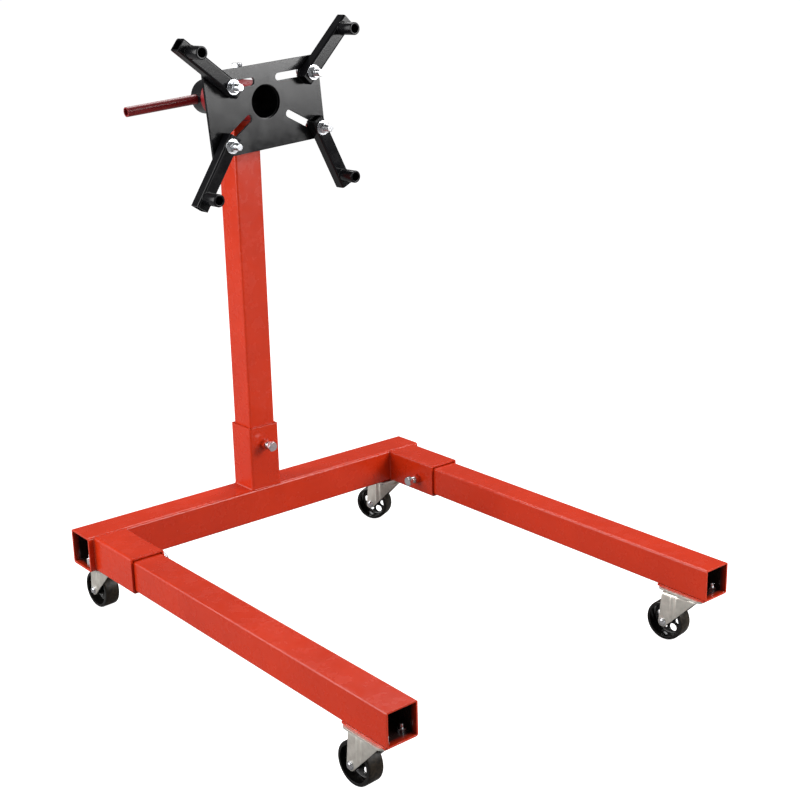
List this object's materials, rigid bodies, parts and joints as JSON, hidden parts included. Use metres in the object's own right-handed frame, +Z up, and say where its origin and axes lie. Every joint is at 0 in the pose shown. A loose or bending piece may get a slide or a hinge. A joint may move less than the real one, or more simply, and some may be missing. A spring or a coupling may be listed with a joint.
{
  "type": "engine stand",
  "caption": "Welded steel stand on swivel casters with a post and a turning head whose slotted plate and adjustable arms bolt to an engine.",
  "frame": {"origin": "on the floor, under the middle of the stand's footprint", "axes": "+Z up, +Y to the back along the legs, from their front ends to the cross tube, and +X to the stand's right as seen from the front ends looking back"},
  "size_m": [0.825, 1.022, 1.1226],
  "materials": {
    "red_powder_coat": "satin powder coat",
    "dark_red_paint": "satin powder coat",
    "black_powder_coat": "glossy powder coat",
    "zinc_plate": "bright zinc plating",
    "wheel_polyolefin": "moulded, glossy sides and a dull tread"
  },
  "bodies": {
    "base": {"caster_balls": "zinc_plate", "caster_kingpins": "zinc_plate", "cross_tube": "red_powder_coat", "front_left_caster_plate": "zinc_plate", "front_plate_bolts": "zinc_plate", "front_right_caster_plate": "zinc_plate", "left_caster_pad": "red_powder_coat", "left_leg": "red_powder_coat", "left_leg_set_bolt": "zinc_plate", "left_leg_socket": "red_powder_coat", "post_set_bolt": "zinc_plate", "post_socket": "red_powder_coat", "rear_left_caster_plate": "zinc_plate", "rear_plate_bolts": "zinc_plate", "rear_right_caster_plate": "zinc_plate", "receiver_tube": "dark_red_paint", "receiver_weld_nut": "dark_red_paint", "right_caster_pad": "red_powder_coat", "right_leg": "red_powder_coat", "right_leg_set_bolt": "zinc_plate", "right_leg_socket": "red_powder_coat", "socket_weld_nuts": "red_powder_coat", "upper_post": "red_powder_coat"},
    "head": {"head_barrel": "black_powder_coat", "head_plate": "black_powder_coat"},
    "handle": {"turning_handle": "dark_red_paint"},
    "lock_bolt": {"head_lock_bolt": "zinc_plate"},
    "upper_left_bolt": {"upper_left_arm_bolt": "zinc_plate", "upper_left_arm_nut_and_washers": "zinc_plate"},
    "upper_left_arm": {"upper_left_arm": "black_powder_coat", "upper_left_arm_sleeve": "black_powder_coat"},
    "upper_right_bolt": {"upper_right_arm_bolt": "zinc_plate", "upper_right_arm_nut_and_washers": "zinc_plate"},
    "upper_right_arm": {"upper_right_arm": "black_powder_coat", "upper_right_arm_sleeve": "black_powder_coat"},
    "lower_left_bolt": {"lower_left_arm_bolt": "zinc_plate", "lower_left_arm_nut_and_washers": "zinc_plate"},
    "lower_left_arm": {"lower_left_arm": "black_powder_coat", "lower_left_arm_sleeve": "black_powder_coat"},
    "lower_right_bolt": {"lower_right_arm_bolt": "zinc_plate", "lower_right_arm_nut_and_washers": "zinc_plate"},
    "lower_right_arm": {"lower_right_arm": "black_powder_coat", "lower_right_arm_sleeve": "black_powder_coat"},
    "front_left_fork": {"front_left_caster_fork": "zinc_plate", "front_left_axle_sleeve": "zinc_plate", "front_left_axle_bolt": "zinc_plate"},
    "front_left_wheel": {"front_left_caster_wheel": "wheel_polyolefin"},
    "front_right_fork": {"front_right_caster_fork": "zinc_plate", "front_right_axle_sleeve": "zinc_plate", "front_right_axle_bolt": "zinc_plate"},
    "front_right_wheel": {"front_right_caster_wheel": "wheel_polyolefin"},
    "rear_left_fork": {"rear_left_caster_fork": "zinc_plate", "rear_left_axle_sleeve": "zinc_plate", "rear_left_axle_bolt": "zinc_plate"},
    "rear_left_wheel": {"rear_left_caster_wheel": "wheel_polyolefin"},
    "rear_right_fork": {"rear_right_caster_fork": "zinc_plate", "rear_right_axle_sleeve": "zinc_plate", "rear_right_axle_bolt": "zinc_plate"},
    "rear_right_wheel": {"rear_right_caster_wheel": "wheel_polyolefin"}
  },
  "joints": [
    {"name": "head_turn", "type": "hinge", "parent": "base", "child": "head", "pos_m": [0, 0.399, 0.97], "axis": [0, 1, 0], "continuous": true},
    {"name": "handle_slide", "type": "slide", "parent": "head", "child": "handle", "axis": [0.9962, 0, 0.0872], "range_m": [-0.03, 0.15]},
    {"name": "lock_bolt_release", "type": "slide", "parent": "base", "child": "lock_bolt", "axis": [0, 0, 1], "range_m": [0, 0.008]},
    {"name": "upper_left_bolt_slide", "type": "slide", "parent": "head", "child": "upper_left_bolt", "axis": [-0.9962, 0, -0.0872], "range_m": [-0.0494, 0.0082]},
    {"name": "upper_left_arm_swing", "type": "hinge", "parent": "upper_left_bolt", "child": "upper_left_arm", "pos_m": [-0.08865, 0.299, 1.0034], "axis": [0, -1, 0], "range_deg": [-40, 40]},
    {"name": "upper_right_bolt_slide", "type": "slide", "parent": "head", "child": "upper_right_bolt", "axis": [0.9962, 0, 0.0872], "range_m": [-0.0615, 0.0084]},
    {"name": "upper_right_arm_swing", "type": "hinge", "parent": "upper_right_bolt", "child": "upper_right_arm", "pos_m": [0.09356, 0.299, 1.01934], "axis": [0, -1, 0], "range_deg": [-40, 40]},
    {"name": "lower_left_bolt_slide", "type": "slide", "parent": "head", "child": "lower_left_bolt", "axis": [-0.7986, 0, -0.6018], "range_m": [-0.067, 0.006]},
    {"name": "lower_left_arm_swing", "type": "hinge", "parent": "lower_left_bolt", "child": "lower_left_arm", "pos_m": [-0.09753, 0.299, 0.89729], "axis": [0, -1, 0], "range_deg": [-40, 40]},
    {"name": "lower_right_bolt_slide", "type": "slide", "parent": "head", "child": "lower_right_bolt", "axis": [0.891, 0, -0.454], "range_m": [-0.065, 0.004]},
    {"name": "lower_right_arm_swing", "type": "hinge", "parent": "lower_right_bolt", "child": "lower_right_arm", "pos_m": [0.11046, 0.299, 0.91442], "axis": [0, -1, 0], "range_deg": [-40, 40]},
    {"name": "front_left_swivel", "type": "hinge", "parent": "base", "child": "front_left_fork", "pos_m": [-0.3665, -0.452, 0.1085], "axis": [0, 0, 1], "continuous": true},
    {"name": "front_left_roll", "type": "hinge", "parent": "front_left_fork", "child": "front_left_wheel", "pos_m": [-0.3687, -0.41006, 0.0375], "axis": [0.9986, 0.0523, 0], "continuous": true},
    {"name": "front_right_swivel", "type": "hinge", "parent": "base", "child": "front_right_fork", "pos_m": [0.3665, -0.452, 0.1085], "axis": [0, 0, 1], "continuous": true},
    {"name": "front_right_roll", "type": "hinge", "parent": "front_right_fork", "child": "front_right_wheel", "pos_m": [0.36138, -0.41031, 0.0375], "axis": [0.9925, 0.1219, 0], "continuous": true},
    {"name": "rear_left_swivel", "type": "hinge", "parent": "base", "child": "rear_left_fork", "pos_m": [-0.354, 0.393, 0.1085], "axis": [0, 0, 1], "continuous": true},
    {"name": "rear_left_roll", "type": "hinge", "parent": "rear_left_fork", "child": "rear_left_wheel", "pos_m": [-0.35693, 0.4349, 0.0375], "axis": [0.9976, 0.0698, 0], "continuous": true},
    {"name": "rear_right_swivel", "type": "hinge", "parent": "base", "child": "rear_right_fork", "pos_m": [0.354, 0.393, 0.1085], "axis": [0, 0, 1], "continuous": true},
    {"name": "rear_right_roll", "type": "hinge", "parent": "rear_right_fork", "child": "rear_right_wheel", "pos_m": [0.33692, 0.43137, 0.0375], "axis": [0.9135, 0.4067, 0], "continuous": true}
  ]
}
